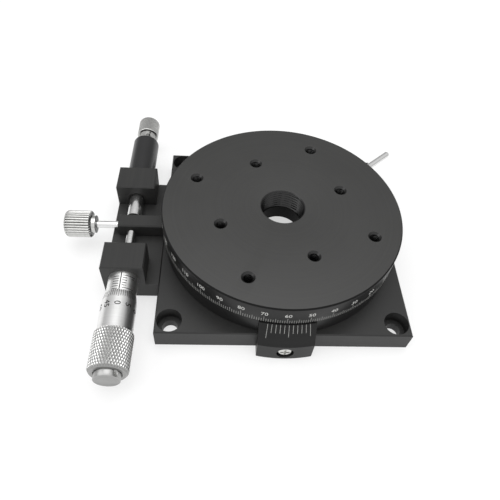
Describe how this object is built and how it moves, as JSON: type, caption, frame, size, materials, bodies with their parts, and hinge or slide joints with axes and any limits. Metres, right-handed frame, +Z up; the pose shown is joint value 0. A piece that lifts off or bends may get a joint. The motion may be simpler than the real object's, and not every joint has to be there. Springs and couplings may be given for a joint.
{
  "type": "manual rotation stage",
  "caption": "Flat manual rotation stage: square base, graduated round table with a threaded centre hole, side micrometer with sprung plunger, clamp screws.",
  "frame": {"origin": "centre of the base plate's underside, on the table's axis", "axes": "+Z up along the table's axis, micrometer and plunger along Y on the -X side, vernier on -Y"},
  "size_m": [0.1357, 0.1257, 0.0245],
  "materials": {
    "black_anodised": "black anodised, fine matt",
    "satin_chrome": "satin chrome plate",
    "bright_steel": "ground and polished",
    "bearing_steel": "ground",
    "spring_steel": "drawn wire",
    "black_steel": "black oxide",
    "brass": "turned"
  },
  "bodies": {
    "base": {"base_plate": "black_anodised", "housing_ring": "black_anodised", "housing_screws": "black_steel", "vernier_block": "black_anodised", "vernier_screw": "bright_steel", "micrometer_bracket": "black_anodised", "bracket_screws": "black_steel", "bracket_set_screws": "black_steel", "bearing_outer_race": "bearing_steel", "bearing_cover": "black_anodised", "micrometer_sleeve": "satin_chrome", "micrometer_nut": "brass", "plunger_tube": "black_anodised", "plunger_end_plug": "black_anodised", "plunger_spring": "spring_steel"},
    "arm": {"clamp_arm": "black_anodised"},
    "table": {"rotary_table": "black_anodised", "table_hub": "black_anodised", "hub_screws": "black_steel", "hub_nut": "black_anodised", "bearing_inner_race": "bearing_steel"},
    "ball_set": {"bearing_balls": "bearing_steel", "bearing_cage": "brass"},
    "tip_ball": {"micrometer_tip_ball": "bearing_steel"},
    "thimble": {"micrometer_spindle": "bright_steel", "micrometer_thimble": "satin_chrome", "micrometer_end_cap": "satin_chrome", "end_cap_screw": "bright_steel"},
    "plunger": {"plunger_rod": "bright_steel", "plunger_knob": "satin_chrome"},
    "thumb_pad": {"thumb_pad": "brass"},
    "thumbscrew": {"thumbscrew_rod": "bright_steel", "thumbscrew_knob": "satin_chrome"},
    "lock_pad": {"lock_pad": "brass"},
    "lock_screw": {"lock_screw": "bright_steel"}
  },
  "joints": [
    {"name": "spindle_feed", "type": "slide", "parent": "base", "child": "tip_ball", "axis": [0, 1, 0], "range_m": [-0.00497, 0.00497]},
    {"name": "thimble_turn", "type": "hinge", "parent": "tip_ball", "child": "thimble", "pos_m": [-0.057, 0, 0.0112], "axis": [0, 1, 0], "range_deg": [-3580, 3580]},
    {"name": "fine_turn", "type": "hinge", "parent": "base", "child": "arm", "pos_m": [0, 0, 0.0077], "axis": [0, 0, 1], "range_deg": [-5, 5]},
    {"name": "coarse_turn", "type": "hinge", "parent": "arm", "child": "table", "pos_m": [0, 0, 0.0047], "axis": [0, 0, 1], "continuous": true},
    {"name": "cage_turn", "type": "hinge", "parent": "base", "child": "ball_set", "pos_m": [0, 0, 0.0047], "axis": [0, 0, 1], "continuous": true},
    {"name": "plunger_slide", "type": "slide", "parent": "base", "child": "plunger", "axis": [0, 1, 0], "range_m": [-0.005, 0.005], "deforming": ["plunger_spring"]},
    {"name": "thumb_pad_slide", "type": "slide", "parent": "arm", "child": "thumb_pad", "axis": [1, 0, 0], "range_m": [-0.0005, 0]},
    {"name": "thumbscrew_turn", "type": "hinge", "parent": "thumb_pad", "child": "thumbscrew", "pos_m": [-0.0665, 0, 0.0112], "axis": [1, 0, 0], "range_deg": [-360, 0]},
    {"name": "lock_pad_slide", "type": "slide", "parent": "base", "child": "lock_pad", "axis": [-0.749, -0.6626, 0], "range_m": [-0.0005, 0]},
    {"name": "lock_turn", "type": "hinge", "parent": "lock_pad", "child": "lock_screw", "pos_m": [0.04119, 0.03644, 0.01205], "axis": [-0.749, -0.6626, 0], "range_deg": [-360, 0]}
  ],
  "couplings": [
    {"joint": "thimble_turn", "follows": "spindle_feed", "rad_per_m": 12566},
    {"joint": "fine_turn", "follows": "spindle_feed", "rad_per_m": -17.544},
    {"joint": "plunger_slide", "follows": "spindle_feed", "ratio": 1},
    {"joint": "cage_turn", "follows": "coarse_turn", "ratio": 0.46196},
    {"joint": "thumbscrew_turn", "follows": "thumb_pad_slide", "rad_per_m": 12566},
    {"joint": "lock_turn", "follows": "lock_pad_slide", "rad_per_m": 12566}
  ]
}
